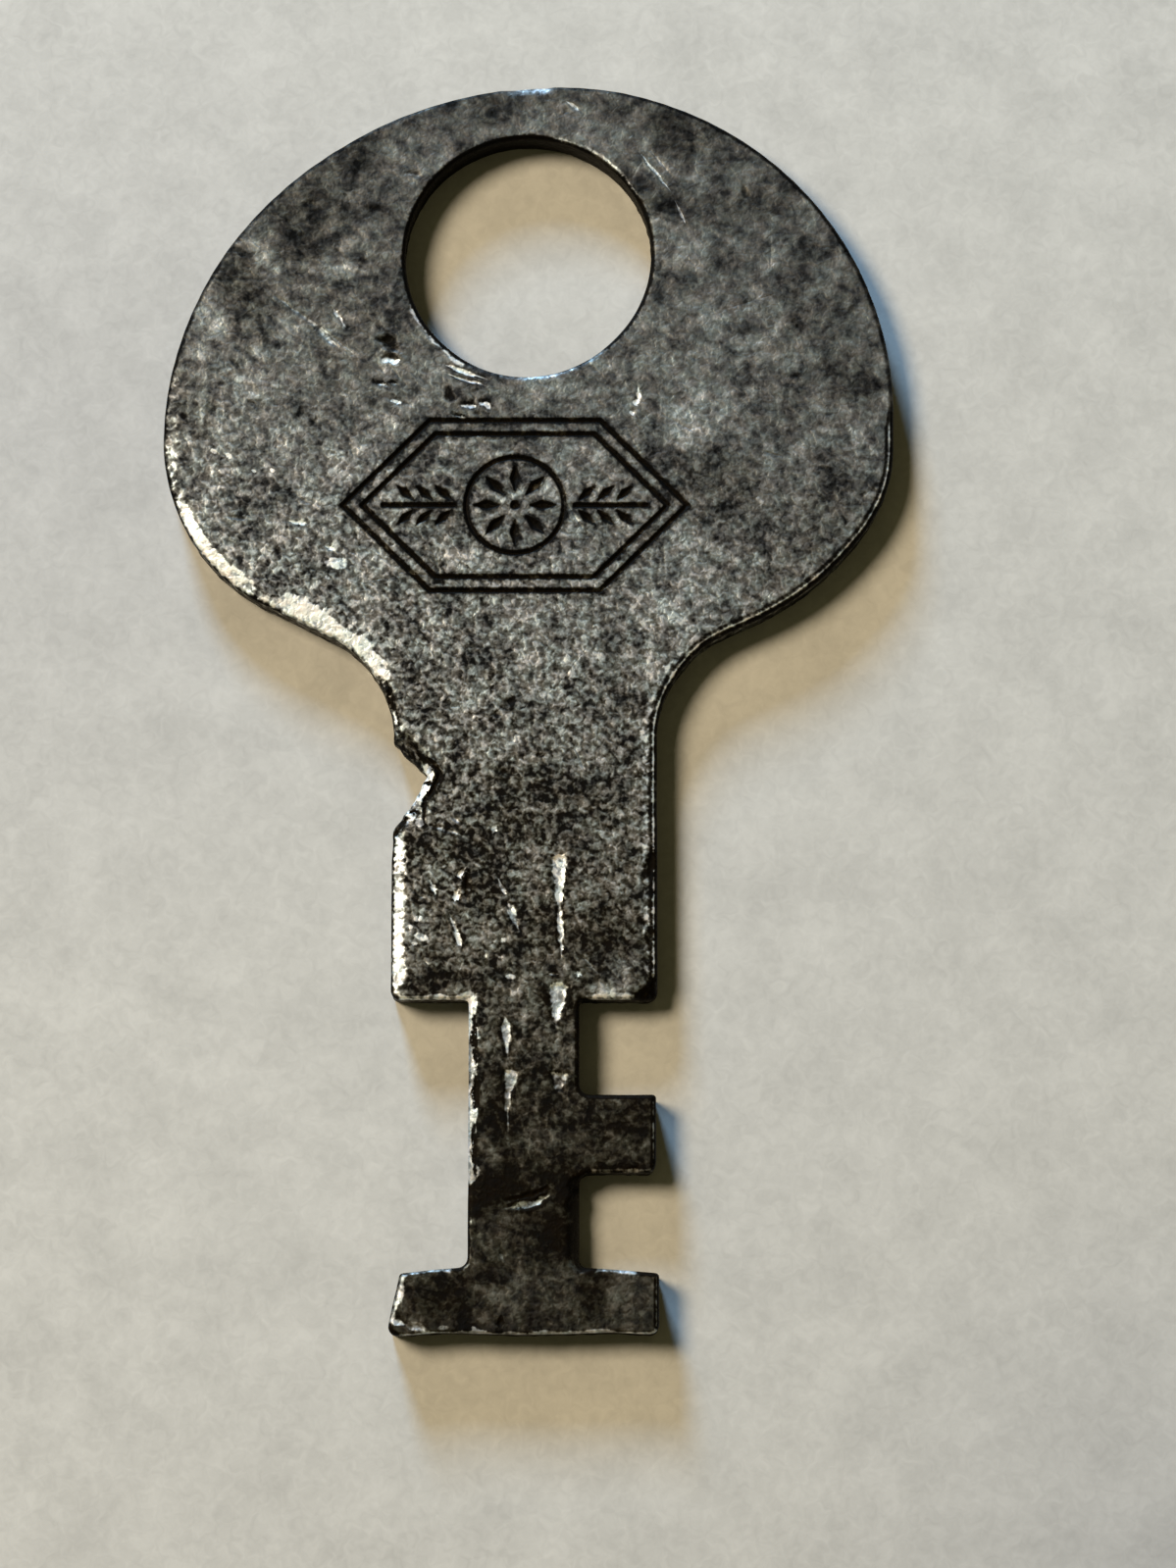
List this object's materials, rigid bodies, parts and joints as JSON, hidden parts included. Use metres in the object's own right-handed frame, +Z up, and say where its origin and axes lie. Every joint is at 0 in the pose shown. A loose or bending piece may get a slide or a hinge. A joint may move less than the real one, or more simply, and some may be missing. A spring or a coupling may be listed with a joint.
{
  "type": "key",
  "caption": "Flat steel key stamped from sheet, with a wide rounded bow, a ring hole, a shouldered blade, a side bit and a T-shaped tip.",
  "frame": {"origin": "middle of the ring hole, on the underside of the key as it lies flat", "axes": "+Z up out of the ornamented face, +Y from the tip to the bow, +X to the side that has the bit"},
  "size_m": [0.022, 0.0381, 0.0013],
  "materials": {
    "aged_steel": "aged, dark grey and mottled, with edges and scratches rubbed bright"
  },
  "bodies": {
    "root": {"key": "aged_steel"}
  },
  "joints": []
}
